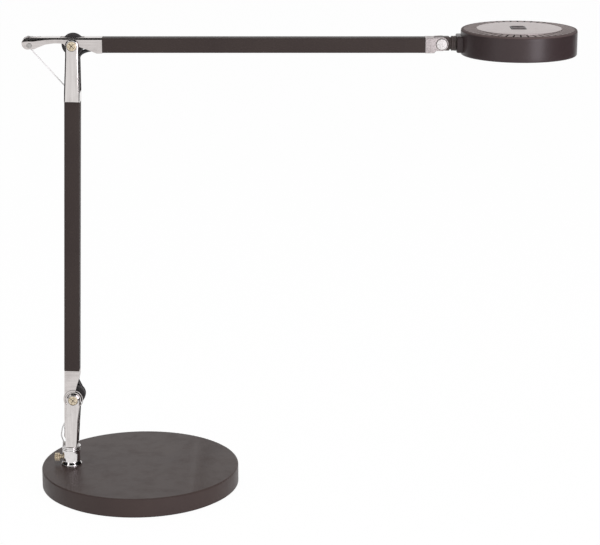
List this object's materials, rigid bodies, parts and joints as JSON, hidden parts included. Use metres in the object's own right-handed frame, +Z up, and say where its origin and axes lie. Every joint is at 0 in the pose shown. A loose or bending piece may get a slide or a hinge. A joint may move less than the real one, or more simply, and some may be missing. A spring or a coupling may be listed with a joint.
{
  "type": "balanced desk lamp",
  "caption": "Desk lamp with a heavy round base, a swivelling post, square-tube arms balanced by wires and springs, and a flat round LED head.",
  "frame": {"origin": "centre of the round base's underside, on the table", "axes": "+Z up, +X along the level upper arm towards the head, +Y to the rear, away from the pictured side"},
  "size_m": [0.5934, 0.2225, 0.5178],
  "materials": {
    "base_paint": "satin dark anthracite enamel",
    "iron": "raw casting",
    "black_rubber": "matt",
    "chrome": "polished chrome plate",
    "steel": "plain bright steel",
    "warm_zinc": "yellowed zinc plate",
    "bracket_metal": "satin light metal",
    "tube_paint": "satin dark grey enamel",
    "black_plastic": "matt black moulding",
    "cable_black": "satin black sheath",
    "head_paint": "satin dark grey enamel",
    "plate_metal": "fine satin anodised",
    "board": "white coated board",
    "led_yellow": "phosphor",
    "diffuser_white": "frosted"
  },
  "bodies": {
    "base": {"base_cover": "base_paint", "base_weight": "iron", "base_pad": "black_rubber", "base_screws": "steel", "cable_grommet": "black_rubber", "base_lead": "cable_black", "foot_socket": "chrome", "socket_nut": "steel"},
    "clamp_screw": {"thumb_screw": "warm_zinc"},
    "post": {"post_spigot": "steel", "post_collar": "chrome", "post_fork": "chrome", "shoulder_anchor": "steel", "shoulder_bolt": "warm_zinc", "shoulder_nut": "chrome", "shoulder_washers": "black_plastic", "shoulder_guide": "black_plastic", "cable_shoulder": "cable_black", "shoulder_wire": "steel"},
    "lower_arm": {"lower_lever": "chrome", "lower_nose_bush": "steel", "lower_tube": "tube_paint", "lower_spring": "steel", "lower_spring_pin": "steel", "lower_inner_wire": "steel", "elbow_fork": "chrome", "elbow_wire_pin": "steel", "elbow_bolt": "warm_zinc", "elbow_nut": "chrome", "elbow_washers": "black_plastic", "elbow_guide": "black_plastic", "cable_lower": "cable_black", "cable_elbow": "cable_black"},
    "lower_hook": {"lower_spring_hook": "steel"},
    "upper_arm": {"upper_lever": "chrome", "upper_nose_bush": "steel", "upper_tube": "tube_paint", "upper_spring": "steel", "upper_spring_pin": "steel", "upper_inner_wire": "steel", "cable_upper": "cable_black", "end_bracket": "bracket_metal", "tilt_bolt": "steel", "tilt_nut": "steel"},
    "upper_hook": {"upper_spring_hook": "steel"},
    "wire_swing": {"elbow_wire": "steel"},
    "wire_sleeve": {"elbow_wire_end": "steel"},
    "knuckle": {"head_knuckle": "black_plastic", "head_lead": "cable_black"},
    "head": {"head_neck": "black_plastic", "head_collar": "black_plastic", "head_housing": "head_paint", "vent_rim": "head_paint", "top_plate": "plate_metal", "key_panel": "black_plastic", "led_board": "board", "leds": "led_yellow", "diffuser": "diffuser_white"},
    "power_key": {"key_power": "black_plastic"},
    "dimmer_key": {"key_dimmer": "black_plastic"}
  },
  "joints": [
    {"name": "post_swivel", "type": "hinge", "parent": "base", "child": "post", "pos_m": [-0.0775, 0, 0.04], "axis": [0, 0, 1], "range_deg": [-180, 180]},
    {"name": "clamp_turn", "type": "hinge", "parent": "base", "child": "clamp_screw", "pos_m": [-0.095, 0, 0.0308], "axis": [-1, 0, 0], "continuous": true},
    {"name": "shoulder", "type": "hinge", "parent": "post", "child": "lower_arm", "pos_m": [-0.0728, 0, 0.1016], "axis": [0, 1, 0], "range_deg": [-20, 60], "deforming": ["cable_shoulder", "shoulder_wire", "lower_inner_wire", "lower_spring"]},
    {"name": "lower_hook_slide", "type": "slide", "parent": "lower_arm", "child": "lower_hook", "axis": [0.0297, 0, 0.9996], "range_m": [-0.026, 0.01], "deforming": ["lower_inner_wire", "lower_spring"]},
    {"name": "elbow", "type": "hinge", "parent": "lower_arm", "child": "upper_arm", "pos_m": [-0.06301, 0, 0.49888], "axis": [0, -1, 0], "range_deg": [-45, 50], "deforming": ["cable_elbow", "elbow_wire", "upper_inner_wire", "upper_spring"]},
    {"name": "upper_hook_slide", "type": "slide", "parent": "upper_arm", "child": "upper_hook", "axis": [1, 0, 0], "range_m": [-0.029, 0.032], "deforming": ["upper_inner_wire", "upper_spring"]},
    {"name": "wire_turn", "type": "hinge", "parent": "upper_arm", "child": "wire_swing", "pos_m": [-0.10861, 0.0043, 0.49888], "axis": [0, -1, 0], "range_deg": [-26, 24], "deforming": ["elbow_wire", "upper_inner_wire"]},
    {"name": "wire_run", "type": "slide", "parent": "wire_swing", "child": "wire_sleeve", "axis": [0.6613, 0, -0.7501], "range_m": [-0.032, 0.029], "deforming": ["elbow_wire"]},
    {"name": "head_tilt", "type": "hinge", "parent": "upper_arm", "child": "knuckle", "pos_m": [0.33149, 0, 0.50038], "axis": [0, -1, 0], "range_deg": [-75, 45], "deforming": ["head_lead"]},
    {"name": "head_turn", "type": "hinge", "parent": "knuckle", "child": "head", "pos_m": [0.34349, 0, 0.50038], "axis": [1, 0, 0], "range_deg": [-90, 90], "deforming": ["head_lead"]},
    {"name": "power_press", "type": "slide", "parent": "head", "child": "power_key", "axis": [0, 0, -1], "range_m": [0, 0.0008], "stiffness_N_per_m": 400},
    {"name": "dimmer_press", "type": "slide", "parent": "head", "child": "dimmer_key", "axis": [0, 0, -1], "range_m": [0, 0.0008], "stiffness_N_per_m": 400}
  ],
  "couplings": [
    {"joint": "lower_hook_slide", "follows": "shoulder", "m_per_rad": -0.022918},
    {"joint": "upper_hook_slide", "follows": "elbow", "m_per_rad": 0.034377},
    {"joint": "wire_turn", "follows": "elbow", "ratio": -0.5},
    {"joint": "wire_run", "follows": "elbow", "m_per_rad": -0.034377}
  ]
}
